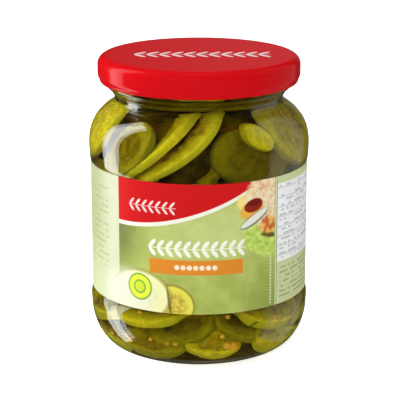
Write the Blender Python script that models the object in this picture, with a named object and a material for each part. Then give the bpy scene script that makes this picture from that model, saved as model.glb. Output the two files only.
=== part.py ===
"""A shut 370 ml jar of pickle slices: glass jar, twist-off lid, wrap-round label and the heap of slices.

Units are metres, +Z is up, and the origin is the middle of the jar's foot on the surface it stands on.
Profiles are worked out in millimetres as (radius, height) pairs and turned about Z.
"""

import math
import random

import bmesh
import bpy
from mathutils import Matrix, Vector

MM = 0.001

# Driving dimensions in millimetres: overall size, and the heights that split it up
BODY_RADIUS = 39.5
JAR_HEIGHT = 105.85
LID_RADIUS = 36.1
LID_HEIGHT = 9.5
LABEL_BOTTOM = 21.6
LABEL_TOP = 68.1
LABEL_RADIUS = 39.0
GAP = 0.3

# Glass: heel, panel that the label sits in, shoulder and neck
FOOT_INNER_RADIUS = 25.5
FOOT_OUTER_RADIUS = 29.4
PUSH_UP = 3.2
HEEL_RADIUS = 39.3
HEEL_TOP = 15.4
HEEL_POWERS = (1.98, 1.8)
LABEL_PAPER = 0.3
PANEL_RADIUS = LABEL_RADIUS - LABEL_PAPER - GAP
SHOULDER_BOTTOM = 73.6
SHOULDER_CROWN = (22.45, 91.7)
SHOULDER_POWERS = (1.62, 2.53)
SHOULDER_SWEEP = 56.0
INNER_SHOULDER_SWEEP = 58.0
NECK_RADIUS = 29.95
NECK_HEIGHT = 90.6
BEAD_RADIUS = 32.7
BEAD_HEIGHT = 95.2
BEAD_ROUND = 0.8
FINISH_RADIUS = 31.9
THREAD_RADIUS = 33.5
WALL = 2.9
BORE_RADIUS = 29.6
NECK_BORE_RADIUS = 27.6
BASE_GLASS = 2.6
FLOOR_RISE = 3.4
INNER_HEEL_RADIUS = 28.2
INNER_HEEL_TOP = 16.4
INNER_HEEL_POWERS = (2.0, 2.0)

# Lid: flat panel, round corner, skirt and rolled edge
LID_SHEET = 0.6
LID_CORNER = 3.2
LID_PANEL_RADIUS = LID_RADIUS - LID_CORNER
CURL_RADIUS = 1.1
CURL_CENTRE = (34.35, JAR_HEIGHT - LID_HEIGHT + CURL_RADIUS)
SKIRT_FOOT = (36.02, 98.8)
SKIRT_MIDDLE = (36.08, 100.1)
SKIRT_INSIDE = (35.42, 99.4)
LINER = 0.4
RIM_TOP = JAR_HEIGHT - LID_SHEET - LINER

# Heap of slices: a core with the slices that show fused on
CORE_BOTTOM = 7.2
CORE_TOP = 86.0
CORE_INSET = 5.2
CORE_MIDDLE_INSET = 4.0
CORE_RIPPLE = 0.9
HEAP_DOME = 87.0
HEAP_DOME_SLOPE = 1.75
CLEARANCE = 0.5
CLEARANCE_STEP = 0.06
CLEARANCE_STEPS = 7
FLOOR_CLEARANCE = 0.9
RIM_PRESS = 1.0
SLICE_SIDES = 14
SLICE_THICKNESS = 3.4

# Sides of the turned pieces
TURNED_SIDES = 48
CORE_SIDES = 24

# The slices that the front of the jar shows, read from the photograph through the glass. Each is
# azimuth and height of its middle, lean along the wall, tip of its upper face towards the glass,
# half length along the wall, half depth, thickness, inset
SHOWN_SLICES = (
    (-181.0, 79.5, 10.0, 68.0, 20.0, 11.0, 3.4, 0.0),
    (-169.0, 64.8, 7.0, 61.0, 14.0, 9.4, 3.2, 1.0),
    (-134.0, 75.4, 37.0, 55.0, 12.0, 8.2, 3.0, 0.4),
    (-124.5, 77.3, 35.0, 27.0, 20.5, 13.5, 2.8, 0.0),
    (-106.0, 78.6, 33.0, 27.0, 21.5, 13.5, 2.4, 0.0),
    (-99.0, 69.0, 30.0, 30.0, 15.0, 12.0, 2.8, 4.0),
    (-54.0, 80.9, -27.0, 78.0, 6.1, 3.5, 4.2, 0.0),
    (-57.0, 74.0, -12.0, 78.0, 14.5, 9.0, 3.2, 4.6),
    (-20.5, 79.2, -21.0, 56.0, 17.0, 11.6, 3.2, 0.5),
    (-78.0, 64.5, 8.0, 45.0, 10.0, 8.0, 3.2, 2.5),
    (-120.5, 20.5, 8.0, 28.0, 15.0, 12.0, 3.0, 0.0),
    (-42.0, 19.0, -11.0, 30.0, 15.0, 12.0, 3.4, 0.0),
    (-82.0, 9.0, -8.0, 60.0, 9.5, 5.6, 3.8, 1.2),
    (-119.0, 8.5, 4.0, 60.0, 12.0, 6.0, 3.0, 1.5),
    (-101.0, 14.5, 14.0, 42.0, 11.0, 8.0, 3.0, 3.0),
    (-61.0, 15.0, -12.0, 42.0, 11.0, 8.0, 3.0, 3.0),
    (-38.0, 9.0, -4.0, 62.0, 11.0, 6.0, 3.2, 0.5),
)

# The rest, spread round the wall by a rule. Each row is first azimuth, last azimuth, count,
# height, lean, tip, half length, half depth
HIDDEN_ROWS = (
    (-10.0, 152.0, 10, 76.0, 38.0, 20.0, 15.5, 13.0),
    (-12.0, 196.0, 8, 18.0, 10.0, 20.0, 17.0, 12.0),
    (-16.0, 205.0, 6, 9.5, -6.0, 30.0, 12.0, 9.0),
)
ROW_JITTER = (4.0, 2.4, 7.0, 2.0)
HEAP_SEED = 11

COLOURS = {
    "glass": (0.80, 0.86, 0.80),
    "red_lacquer": (0.62, 0.012, 0.022),
    "label_paper": (0.50, 0.58, 0.22),
    "pickle": (0.36, 0.34, 0.035),
}


def clear_scene():
    for thing in list(bpy.data.objects):
        bpy.data.objects.remove(thing, do_unlink=True)


def make_material(name, roughness, metallic=0.0, alpha=1.0):
    """A Principled material in one of the part's colours."""
    material = bpy.data.materials.new(name)
    material.use_nodes = True
    shader = material.node_tree.nodes["Principled BSDF"]
    shader.inputs["Base Color"].default_value = (*COLOURS[name], 1.0)
    shader.inputs["Roughness"].default_value = roughness
    shader.inputs["Metallic"].default_value = metallic
    shader.inputs["Alpha"].default_value = alpha
    return material


def superellipse_arc(upright, flat, powers, count, sweep=90.0):
    """Points of a quarter of a superellipse, from where it runs upright to where it lies flat."""
    radial_power, height_power = powers
    points = []
    for i in range(count + 1):
        angle = math.radians(sweep) * i / count
        across = abs(math.cos(angle)) ** (2.0 / radial_power)
        along = math.sin(angle) ** (2.0 / height_power)
        radius = flat[0] + (upright[0] - flat[0]) * across
        height = upright[1] + (flat[1] - upright[1]) * along
        points.append((radius, height))
    return points


def circle_arc(centre, radius, start, end, count):
    """Points of a circle about centre in the (radius, height) plane, angles in degrees."""
    points = []
    for i in range(count + 1):
        angle = math.radians(start + (end - start) * i / count)
        points.append((centre[0] + radius * math.cos(angle), centre[1] + radius * math.sin(angle)))
    return points


def offset_inward(points, distance):
    """The profile moved inward by distance, square to its own run."""
    moved = []
    last = len(points) - 1
    for i, (radius, height) in enumerate(points):
        before = points[max(i - 1, 0)]
        after = points[min(i + 1, last)]
        run = Vector((after[0] - before[0], after[1] - before[1])).normalized()
        moved.append((radius - run.y * distance, height + run.x * distance))
    return moved


def turned_object(name, profile, material, sides=TURNED_SIDES):
    """A solid turned about Z from a profile that runs round its section, outside first."""
    mesh_builder = bmesh.new()
    rings = []
    for radius, height in profile:
        if radius < 1e-6:
            rings.append([mesh_builder.verts.new((0.0, 0.0, height * MM))])
            continue
        ring = []
        for k in range(sides):
            turn = 2.0 * math.pi * k / sides
            spot = (radius * math.cos(turn) * MM, radius * math.sin(turn) * MM, height * MM)
            ring.append(mesh_builder.verts.new(spot))
        rings.append(ring)
    on_axis = len(rings[0]) == 1
    pairs = len(rings) - 1 if on_axis else len(rings)
    for i in range(pairs):
        join_rings(mesh_builder, rings[i], rings[(i + 1) % len(rings)], sides)
    return finish_object(name, mesh_builder, material)


def join_rings(mesh_builder, lower, upper, sides):
    for k in range(sides):
        after = (k + 1) % sides
        if len(lower) == 1:
            corners = (lower[0], upper[after], upper[k])
        elif len(upper) == 1:
            corners = (lower[k], lower[after], upper[0])
        else:
            corners = (lower[k], lower[after], upper[after], upper[k])
        mesh_builder.faces.new(corners)


def finish_object(name, mesh_builder, material):
    """Turns the built mesh into an object with faces out and round stretches shaded smooth."""
    bmesh.ops.recalc_face_normals(mesh_builder, faces=mesh_builder.faces)
    if mesh_builder.calc_volume(signed=True) < 0.0:
        bmesh.ops.reverse_faces(mesh_builder, faces=mesh_builder.faces)
    mesh = bpy.data.meshes.new(name)
    mesh_builder.to_mesh(mesh)
    mesh_builder.free()
    mesh.materials.append(material)
    mesh.shade_smooth()
    mesh.set_sharp_from_angle(angle=math.radians(40.0))
    thing = bpy.data.objects.new(name, mesh)
    bpy.context.scene.collection.objects.link(thing)
    return thing


def foot_profile():
    """Underside of the glass: the push-up in the middle and the flat ring that it stands on."""
    points = [(0.0, PUSH_UP)]
    for share in (0.5, 0.8, 1.0):
        radius = FOOT_INNER_RADIUS * share
        points.append((radius, PUSH_UP * (1.0 - share**3)))
    return points


def body_profile():
    """Outside of the glass from the heel's foot up to the shoulder's end."""
    heel = superellipse_arc((HEEL_RADIUS, HEEL_TOP), (FOOT_OUTER_RADIUS, 0.0), HEEL_POWERS, 7)
    heel.reverse()
    lower_bulge = [(39.45, 17.8), (39.25, 19.6), (39.0, 20.5)]
    panel = [(PANEL_RADIUS, LABEL_BOTTOM - GAP), (PANEL_RADIUS, LABEL_TOP + GAP)]
    upper_bulge = [(39.1, 68.9), (39.35, 70.9)]
    shoulder = superellipse_arc(
        (BODY_RADIUS, SHOULDER_BOTTOM), SHOULDER_CROWN, SHOULDER_POWERS, 9, SHOULDER_SWEEP
    )
    return heel + lower_bulge + panel + upper_bulge + shoulder


def neck_profile():
    """Outside of the neck from its narrowest place over the bead and the thread to the rim."""
    neck = [(NECK_RADIUS + 0.15, NECK_HEIGHT - 0.7), (NECK_RADIUS, NECK_HEIGHT), (30.3, 91.9), (31.1, 93.3)]
    bead = circle_arc((BEAD_RADIUS - BEAD_ROUND, BEAD_HEIGHT), BEAD_ROUND, -70.0, 80.0, 3)
    thread = [
        (FINISH_RADIUS, BEAD_HEIGHT + 1.1),
        (FINISH_RADIUS, 98.3),
        (THREAD_RADIUS, 99.2),
        (THREAD_RADIUS, 99.9),
        (FINISH_RADIUS, 100.8),
    ]
    rim_middle = 0.5 * (FINISH_RADIUS + BORE_RADIUS)
    rim_round = 0.5 * (FINISH_RADIUS - BORE_RADIUS)
    rim = circle_arc((rim_middle, RIM_TOP - rim_round), rim_round, 0.0, 180.0, 3)
    return neck + bead + thread + rim


def inner_wall():
    """Inside of the glass from the bore down the wall to the edge of the base."""
    bore = [(BORE_RADIUS, 96.0), (NECK_BORE_RADIUS, 92.6)]
    shoulder = superellipse_arc(
        (BODY_RADIUS, SHOULDER_BOTTOM), SHOULDER_CROWN, SHOULDER_POWERS, 6, INNER_SHOULDER_SWEEP
    )
    inner_shoulder = offset_inward(shoulder, WALL)[1:]
    inner_shoulder.reverse()
    wall = [(BODY_RADIUS - WALL, SHOULDER_BOTTOM)]
    heel = superellipse_arc(
        (BODY_RADIUS - WALL, INNER_HEEL_TOP),
        (INNER_HEEL_RADIUS, BASE_GLASS),
        INNER_HEEL_POWERS,
        4,
    )
    return bore + inner_shoulder + wall + heel


def floor_height(radius):
    """Height of the glass's floor, which follows the push-up under it."""
    share = min(1.0, radius / INNER_HEEL_RADIUS)
    return BASE_GLASS + FLOOR_RISE * (1.0 - share**2)


def make_glass_jar(material):
    base = [(radius, floor_height(radius)) for radius in (0.55 * INNER_HEEL_RADIUS, 0.0)]
    profile = foot_profile() + body_profile() + neck_profile() + inner_wall() + base
    return turned_object("glass_jar", profile, material)


def make_lid(material):
    """A twist-off lid: a turned steel cup whose lower edge is rolled inward."""
    corner = (LID_PANEL_RADIUS, JAR_HEIGHT - LID_CORNER)
    inner_corner = LID_CORNER - LID_SHEET
    outside = circle_arc(corner, LID_CORNER, 90.0, 0.0, 5)
    curl = circle_arc(CURL_CENTRE, CURL_RADIUS, 10.0, -265.0, 8)
    inside = circle_arc(corner, inner_corner, 0.0, 90.0, 3)
    profile = [(0.0, JAR_HEIGHT)] + outside + [SKIRT_MIDDLE, SKIRT_FOOT] + curl
    profile += [SKIRT_INSIDE] + inside + [(0.0, JAR_HEIGHT - LID_SHEET)]
    return turned_object("lid", profile, material)


def make_label(material):
    """The paper band round the glass."""
    inner = LABEL_RADIUS - LABEL_PAPER
    profile = [
        (LABEL_RADIUS, LABEL_BOTTOM),
        (LABEL_RADIUS, LABEL_TOP),
        (inner, LABEL_TOP),
        (inner, LABEL_BOTTOM),
    ]
    return turned_object("label", profile, material)


def wall_radius(height, inside):
    """Radius of the glass's inner wall at a height, from its profile."""
    steps = sorted(inside, key=lambda point: point[1])
    if height <= steps[0][1]:
        return steps[0][0]
    for (r0, z0), (r1, z1) in zip(steps, steps[1:]):
        if z0 <= height <= z1 and z1 > z0:
            return r0 + (r1 - r0) * (height - z0) / (z1 - z0)
    return steps[-1][0]


def heap_limit(height, inside):
    """How far out the heap may reach: to the wall, and under a dome where the neck juts in."""
    if height < HEAP_DOME:
        return wall_radius(height, inside)
    return wall_radius(HEAP_DOME, inside) - HEAP_DOME_SLOPE * (height - HEAP_DOME)


def core_inset(height):
    """How far the core stays inside the wall: most where the slices show, least behind the label."""
    middle = 0.5 * (LABEL_BOTTOM + LABEL_TOP)
    reach = 0.5 * (LABEL_TOP - LABEL_BOTTOM)
    away = min(1.0, abs(height - middle) / reach)
    return CORE_MIDDLE_INSET + (CORE_INSET - CORE_MIDDLE_INSET) * away**2


def make_core(inside, material):
    """The rippled body that fills the jar behind the slices that show."""
    mesh_builder = bmesh.new()
    rings = []
    ring_count = 13
    for i in range(ring_count):
        share = i / (ring_count - 1)
        height = CORE_BOTTOM + (CORE_TOP - CORE_BOTTOM) * share
        ring = []
        for k in range(CORE_SIDES):
            turn = 2.0 * math.pi * k / CORE_SIDES
            ripple = CORE_RIPPLE * math.sin(5.0 * turn + 0.5 * height) * math.cos(0.35 * height)
            radius = wall_radius(height, inside) - core_inset(height) + ripple
            spot = Vector((radius * math.cos(turn), radius * math.sin(turn), height))
            ring.append(mesh_builder.verts.new(spot * MM))
        rings.append(ring)
    for lower, upper in zip(rings, rings[1:]):
        join_rings(mesh_builder, lower, upper, CORE_SIDES)
    for ring, height in ((rings[0], CORE_BOTTOM - 0.4), (rings[-1], CORE_TOP + 1.5)):
        tip = [mesh_builder.verts.new((0.0, 0.0, height * MM))]
        join_rings(mesh_builder, ring, tip, CORE_SIDES)
    return finish_object("pickle_slices", mesh_builder, material)


def slice_placement(placing, inside):
    """Where a slice's middle lies and how it is turned, so that its rim reaches the glass."""
    azimuth, height, lean, tip, _, half_depth, thickness, inset = placing
    around = math.radians(azimuth)
    tipped = math.radians(tip)
    across = half_depth * abs(math.cos(tipped)) + 0.5 * thickness * math.sin(tipped)
    reach = wall_radius(height, inside) + RIM_PRESS - inset - across
    middle = Vector((reach * math.cos(around), reach * math.sin(around), height))
    turn = Matrix.Rotation(around, 3, "Z") @ Matrix.Rotation(math.radians(lean), 3, "X")
    return middle, turn @ Matrix.Rotation(tipped, 3, "Y")


def keep_inside(spot, inside, clearance):
    """A slice pressed on the glass takes the form of the wall and the floor."""
    reach = math.hypot(spot.x, spot.y)
    spot.z = max(spot.z, floor_height(reach) + min(clearance, FLOOR_CLEARANCE))
    limit = heap_limit(spot.z, inside) - clearance
    if reach > limit:
        spot.x *= limit / reach
        spot.y *= limit / reach
    return spot


def make_slice(number, placing, inside):
    """One oval slice, pressed to the inside of the glass where it would reach past it."""
    _, _, _, tip, half_length, half_depth, thickness, _ = placing
    clearance = CLEARANCE + CLEARANCE_STEP * (number % CLEARANCE_STEPS)
    under = thickness * math.sin(math.radians(tip))
    middle, turn = slice_placement(placing, inside)
    mesh_builder = bmesh.new()
    rings = []
    tips = []
    for side, kept in ((-1.0, clearance + under), (1.0, clearance)):
        level = 0.5 * side * thickness
        ring = []
        for k in range(SLICE_SIDES):
            angle = 2.0 * math.pi * (k + 0.5) / SLICE_SIDES
            flat = Vector((half_depth * math.cos(angle), half_length * math.sin(angle), level))
            spot = keep_inside(middle + turn @ flat, inside, kept)
            ring.append(mesh_builder.verts.new(spot * MM))
        rings.append(ring)
        centre = keep_inside(middle + turn @ Vector((0.0, 0.0, level)), inside, kept)
        tips.append([mesh_builder.verts.new(centre * MM)])
    join_rings(mesh_builder, rings[0], rings[1], SLICE_SIDES)
    for ring, tip_point in zip(rings, tips):
        join_rings(mesh_builder, ring, tip_point, SLICE_SIDES)
    bmesh.ops.recalc_face_normals(mesh_builder, faces=mesh_builder.faces)
    if mesh_builder.calc_volume(signed=True) < 0.0:
        bmesh.ops.reverse_faces(mesh_builder, faces=mesh_builder.faces)
    mesh = bpy.data.meshes.new("slice")
    mesh_builder.to_mesh(mesh)
    mesh_builder.free()
    return bpy.data.objects.new("slice_%02d" % number, mesh)


def hidden_slices():
    """Placings of the slices that the photograph doesn't show, evenly round with some unevenness."""
    draw = random.Random(HEAP_SEED)
    azimuth_spread, height_spread, lean_spread, length_spread = ROW_JITTER
    placings = []
    for first, last, count, height, lean, tip, half_length, half_depth in HIDDEN_ROWS:
        for i in range(count):
            azimuth = first + (last - first) * i / (count - 1)
            placings.append(
                (
                    azimuth + draw.uniform(-azimuth_spread, azimuth_spread),
                    height + draw.uniform(-height_spread, height_spread),
                    lean + draw.uniform(-lean_spread, lean_spread),
                    tip,
                    half_length + draw.uniform(-length_spread, length_spread),
                    half_depth,
                    SLICE_THICKNESS,
                    0.0,
                )
            )
    return placings


def make_heap(material):
    """Core and slices joined into one solid."""
    inside = inner_wall()
    core = make_core(inside, material)
    pieces = bpy.data.collections.new("slices_to_join")
    bpy.context.scene.collection.children.link(pieces)
    for number, placing in enumerate(list(SHOWN_SLICES) + hidden_slices()):
        pieces.objects.link(make_slice(number, placing, inside))
    union = core.modifiers.new("join_slices", "BOOLEAN")
    union.operation = "UNION"
    union.operand_type = "COLLECTION"
    union.solver = "EXACT"
    union.collection = pieces
    bpy.context.view_layer.objects.active = core
    core.select_set(True)
    bpy.ops.object.modifier_apply(modifier=union.name)
    for thing in list(pieces.objects):
        bpy.data.objects.remove(thing, do_unlink=True)
    bpy.data.collections.remove(pieces)
    return core


def main():
    clear_scene()
    make_glass_jar(make_material("glass", 0.03, alpha=0.3))
    make_lid(make_material("red_lacquer", 0.25))
    make_label(make_material("label_paper", 0.5))
    make_heap(make_material("pickle", 0.35))


main()
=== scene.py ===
"""Looks of the pickle jar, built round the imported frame: clear glass, brine, single slices, lid and print.

Profiles are (radius, height) pairs in millimetres, turned about Z. The print is drawn in millimetres on
the unrolled label: across from the middle of its front, and up from its lower edge.
"""

import math
import random

import bpy
import numpy as np
from mathutils import Matrix, Vector


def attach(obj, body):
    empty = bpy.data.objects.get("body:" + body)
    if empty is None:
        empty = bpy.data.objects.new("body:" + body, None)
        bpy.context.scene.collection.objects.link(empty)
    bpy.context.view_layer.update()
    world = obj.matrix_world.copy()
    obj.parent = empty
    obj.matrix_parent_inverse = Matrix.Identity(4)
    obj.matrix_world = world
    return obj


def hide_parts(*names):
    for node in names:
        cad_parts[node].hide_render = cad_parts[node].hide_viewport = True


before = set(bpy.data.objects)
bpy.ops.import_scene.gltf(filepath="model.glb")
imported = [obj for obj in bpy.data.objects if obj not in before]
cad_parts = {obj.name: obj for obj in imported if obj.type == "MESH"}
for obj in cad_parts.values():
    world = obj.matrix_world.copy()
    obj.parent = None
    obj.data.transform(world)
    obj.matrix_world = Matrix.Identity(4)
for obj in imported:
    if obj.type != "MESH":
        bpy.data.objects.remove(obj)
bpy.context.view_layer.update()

MM = 0.001
BODY = "root"

# The same driving sizes as the solids have, in millimetres
BODY_RADIUS = 39.5
JAR_HEIGHT = 105.85
LID_RADIUS = 36.1
LID_HEIGHT = 9.5
LABEL_BOTTOM = 21.6
LABEL_TOP = 68.1
LABEL_RADIUS = 39.0
LABEL_PAPER = 0.14
PANEL_RADIUS = 38.82
FOOT_INNER_RADIUS = 25.5
FOOT_OUTER_RADIUS = 29.4
PUSH_UP = 3.2
HEEL_RADIUS = 39.3
HEEL_TOP = 15.4
HEEL_POWERS = (1.98, 1.8)
SHOULDER_BOTTOM = 73.6
SHOULDER_CROWN = (22.45, 91.7)
SHOULDER_POWERS = (1.62, 2.53)
SHOULDER_SWEEP = 56.0
INNER_SHOULDER_SWEEP = 58.0
NECK_RADIUS = 29.95
NECK_HEIGHT = 90.6
BEAD_RADIUS = 32.7
BEAD_HEIGHT = 95.2
BEAD_ROUND = 0.8
FINISH_RADIUS = 31.9
THREAD_RADIUS = 33.5
WALL = 2.9
BORE_RADIUS = 29.6
NECK_BORE_RADIUS = 27.6
BASE_GLASS = 2.6
FLOOR_RISE = 3.4
INNER_HEEL_RADIUS = 28.2
INNER_HEEL_TOP = 16.4
INNER_HEEL_POWERS = (2.0, 2.0)
LID_SHEET = 0.6
LID_CORNER = 3.2
LID_PANEL_RADIUS = LID_RADIUS - LID_CORNER
CURL_RADIUS = 1.1
CURL_CENTRE = (34.35, JAR_HEIGHT - LID_HEIGHT + CURL_RADIUS)
SKIRT_FOOT = (36.02, 98.8)
SKIRT_MIDDLE = (36.08, 100.1)
SKIRT_INSIDE = (35.42, 99.4)
RIM_TOP = JAR_HEIGHT - LID_SHEET - 0.4

# Brine: how far it reaches into the glass, and its surface
BRINE_INTO_WALL = 0.12
BRINE_TOP = 98.6

# Camera of the photograph, fitted to the jar's edges
CAMERA_PLACE = (0.00036, -0.58876, 0.21555)
CAMERA_DOWN_DEG = 15.53
CAMERA_LENS = 151.3
CAMERA_SENSOR = 36.0

# Heap of slices, with the same placings as the solids have: azimuth and height of the middle, lean along
# the wall, tip of the upper face towards the glass, half length along the wall, half depth, thickness and
# inset, and here also how much of a seed hollow shows and how much of the flesh's brightness its painted
# shade leaves (1 for no painted shade)
CORE_BOTTOM = 7.2
CORE_TOP = 86.0
CORE_INSET = 7.5
CORE_MIDDLE_INSET = 4.0
HEAP_DOME = 87.0
HEAP_DOME_SLOPE = 1.75
SLICE_CLEARANCE = 0.25
SLICE_THICKNESS = 3.4
SHOWN_SLICES = (
    (-181.0, 79.5, 10.0, 68.0, 20.0, 11.0, 3.4, 0.0, 0.4, 1.0),
    (-169.0, 64.8, 7.0, 61.0, 14.0, 9.4, 3.2, 1.0, 0.6, 0.75),
    (-134.0, 75.4, 37.0, 55.0, 12.0, 8.2, 3.0, 0.4, 1.0, 0.42),
    (-124.5, 77.3, 35.0, 27.0, 20.5, 13.5, 2.8, 0.0, 1.0, 1.0),
    (-106.0, 78.6, 33.0, 27.0, 21.5, 13.5, 2.4, 0.0, 1.0, 1.0),
    (-99.0, 69.0, 30.0, 30.0, 15.0, 12.0, 2.8, 4.0, 1.0, 0.42),
    (-54.0, 80.9, -27.0, 78.0, 6.1, 3.5, 4.2, 0.0, 0.0, 0.9),
    (-57.0, 74.0, -12.0, 78.0, 14.5, 9.0, 3.2, 4.6, 0.6, 0.33),
    (-20.5, 79.2, -21.0, 56.0, 17.0, 11.6, 3.2, 0.5, 0.6, 0.68),
    (-78.0, 64.5, 8.0, 45.0, 10.0, 8.0, 3.2, 2.5, 0.5, 0.7),
    (-120.5, 20.5, 8.0, 28.0, 15.0, 12.0, 3.0, 0.0, 1.0, 1.0),
    (-42.0, 19.0, -11.0, 30.0, 15.0, 12.0, 3.4, 0.0, 1.0, 0.95),
    (-82.0, 9.0, -8.0, 60.0, 9.5, 5.6, 3.8, 1.2, 1.0, 0.95),
    (-119.0, 8.5, 4.0, 60.0, 12.0, 6.0, 3.0, 1.5, 1.0, 0.5),
    (-101.0, 14.5, 14.0, 42.0, 11.0, 8.0, 3.0, 3.0, 0.8, 0.5),
    (-61.0, 15.0, -12.0, 42.0, 11.0, 8.0, 3.0, 3.0, 0.8, 0.5),
    (-38.0, 9.0, -4.0, 62.0, 11.0, 6.0, 3.2, 0.5, 0.7, 0.9),
)
HIDDEN_ROWS = (
    (-10.0, 152.0, 10, 76.0, 38.0, 20.0, 15.5, 13.0),
    (-12.0, 196.0, 8, 18.0, 10.0, 20.0, 17.0, 12.0),
    (-16.0, 205.0, 6, 9.5, -6.0, 30.0, 12.0, 9.0),
)
ROW_JITTER = (4.0, 2.4, 7.0, 2.0)
HEAP_SEED = 11
DETAIL_SEED = 5


# Shapes shared by several pieces


def superellipse_arc(upright, flat, powers, count, sweep=90.0):
    """Points of a quarter of a superellipse, from where it runs upright to where it lies flat."""
    radial_power, height_power = powers
    points = []
    for i in range(count + 1):
        angle = math.radians(sweep) * i / count
        across = abs(math.cos(angle)) ** (2.0 / radial_power)
        along = math.sin(angle) ** (2.0 / height_power)
        radius = flat[0] + (upright[0] - flat[0]) * across
        height = upright[1] + (flat[1] - upright[1]) * along
        points.append((radius, height))
    return points


def circle_arc(centre, radius, start, end, count):
    """Points of a circle about centre in the (radius, height) plane, angles in degrees."""
    points = []
    for i in range(count + 1):
        angle = math.radians(start + (end - start) * i / count)
        points.append((centre[0] + radius * math.cos(angle), centre[1] + radius * math.sin(angle)))
    return points


def curve_through(points, steps):
    """A smooth run through all the points, with steps spans between each two."""
    spots = [Vector(point) for point in points]
    first = spots[0] * 2.0 - spots[1]
    last = spots[-1] * 2.0 - spots[-2]
    spots = [first] + spots + [last]
    run = []
    for a, b, c, d in zip(spots, spots[1:], spots[2:], spots[3:]):
        for i in range(steps):
            t = i / steps
            spot = 0.5 * (
                2.0 * b + (c - a) * t + (2.0 * a - 5.0 * b + 4.0 * c - d) * t**2
                + (3.0 * b - a - 3.0 * c + d) * t**3
            )
            run.append((spot.x, spot.y))
    run.append(tuple(spots[-2]))
    return run


def offset_inward(points, distance):
    """The profile moved inward by distance, square to its own run."""
    moved = []
    last = len(points) - 1
    for i, (radius, height) in enumerate(points):
        before = points[max(i - 1, 0)]
        after = points[min(i + 1, last)]
        run = Vector((after[0] - before[0], after[1] - before[1])).normalized()
        moved.append((radius - run.y * distance, height + run.x * distance))
    return moved


def turned_mesh(name, profile, sides, wave=None, closed=True):
    """A mesh turned about Z. wave adds to the radius, from (angle, radius, height) arrays."""
    turns = 2.0 * math.pi * np.arange(sides) / sides
    verts = []
    starts = []
    for radius, height in profile:
        starts.append(len(verts))
        if radius < 1e-6:
            verts.append((0.0, 0.0, height * MM))
            continue
        reach = np.full(sides, radius)
        if wave is not None:
            reach = reach + wave(turns, radius, height)
        for turn, r in zip(turns, reach):
            verts.append((r * math.cos(turn) * MM, r * math.sin(turn) * MM, height * MM))
    faces = []
    count = len(profile)
    on_axis = profile[0][0] < 1e-6
    for i in range(count if closed and not on_axis else count - 1):
        low = starts[i]
        high = starts[(i + 1) % count]
        low_tip = profile[i][0] < 1e-6
        high_tip = profile[(i + 1) % count][0] < 1e-6
        for k in range(sides):
            n = (k + 1) % sides
            if low_tip:
                faces.append((low, high + n, high + k))
            elif high_tip:
                faces.append((low + k, low + n, high))
            else:
                faces.append((low + k, low + n, high + n, high + k))
    mesh = bpy.data.meshes.new(name)
    mesh.from_pydata(verts, [], faces)
    mesh.shade_smooth()
    return mesh


def add_piece(name, mesh, slot, *replaced):
    """Puts a piece in the scene, riding on the body, in the place of its nodes. Its slot is not used."""
    piece = bpy.data.objects.new(name, mesh)
    bpy.context.scene.collection.objects.link(piece)
    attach(piece, BODY)
    if replaced:
        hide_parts(*replaced)
    return piece


# Glass and brine


def outer_profile():
    """Outside of the glass from the push-up's middle over the body to the rim, in fine steps."""
    dish = []
    for i in range(13):
        share = i / 12
        dish.append((FOOT_INNER_RADIUS * share, PUSH_UP * (1.0 - share**3)))
    heel = superellipse_arc((HEEL_RADIUS, HEEL_TOP), (FOOT_OUTER_RADIUS, 0.0), HEEL_POWERS, 26)
    heel.reverse()
    lower_bulge = curve_through(
        (
            (HEEL_RADIUS, HEEL_TOP),
            (39.45, 17.8),
            (39.3, 19.4),
            (38.95, 20.6),
            (PANEL_RADIUS, 21.3),
            (PANEL_RADIUS, 23.0),
        ),
        4,
    )[1:]
    upper_bulge = curve_through(
        (
            (PANEL_RADIUS, 66.6),
            (PANEL_RADIUS, 68.2),
            (39.15, 69.0),
            (39.36, 70.9),
            (BODY_RADIUS, SHOULDER_BOTTOM),
        ),
        4,
    )[:-1]
    shoulder = superellipse_arc(
        (BODY_RADIUS, SHOULDER_BOTTOM), SHOULDER_CROWN, SHOULDER_POWERS, 30, SHOULDER_SWEEP
    )
    neck = curve_through(
        (
            shoulder[-1],
            (NECK_RADIUS + 0.15, NECK_HEIGHT - 0.7),
            (NECK_RADIUS, NECK_HEIGHT),
            (30.3, 91.9),
            (31.1, 93.3),
            (BEAD_RADIUS - 0.5, BEAD_HEIGHT - 0.75),
        ),
        4,
    )[1:]
    bead = circle_arc((BEAD_RADIUS - BEAD_ROUND, BEAD_HEIGHT), BEAD_ROUND, -60.0, 80.0, 7)
    thread = curve_through(
        (
            (FINISH_RADIUS, BEAD_HEIGHT + 1.1),
            (FINISH_RADIUS, 98.3),
            (THREAD_RADIUS, 99.2),
            (THREAD_RADIUS, 99.9),
            (FINISH_RADIUS, 100.8),
        ),
        3,
    )
    rim_middle = 0.5 * (FINISH_RADIUS + BORE_RADIUS)
    rim_round = 0.5 * (FINISH_RADIUS - BORE_RADIUS)
    rim = circle_arc((rim_middle, RIM_TOP - rim_round), rim_round, 0.0, 180.0, 8)
    return dish + heel + lower_bulge + upper_bulge + shoulder + neck + bead + thread + rim


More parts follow.
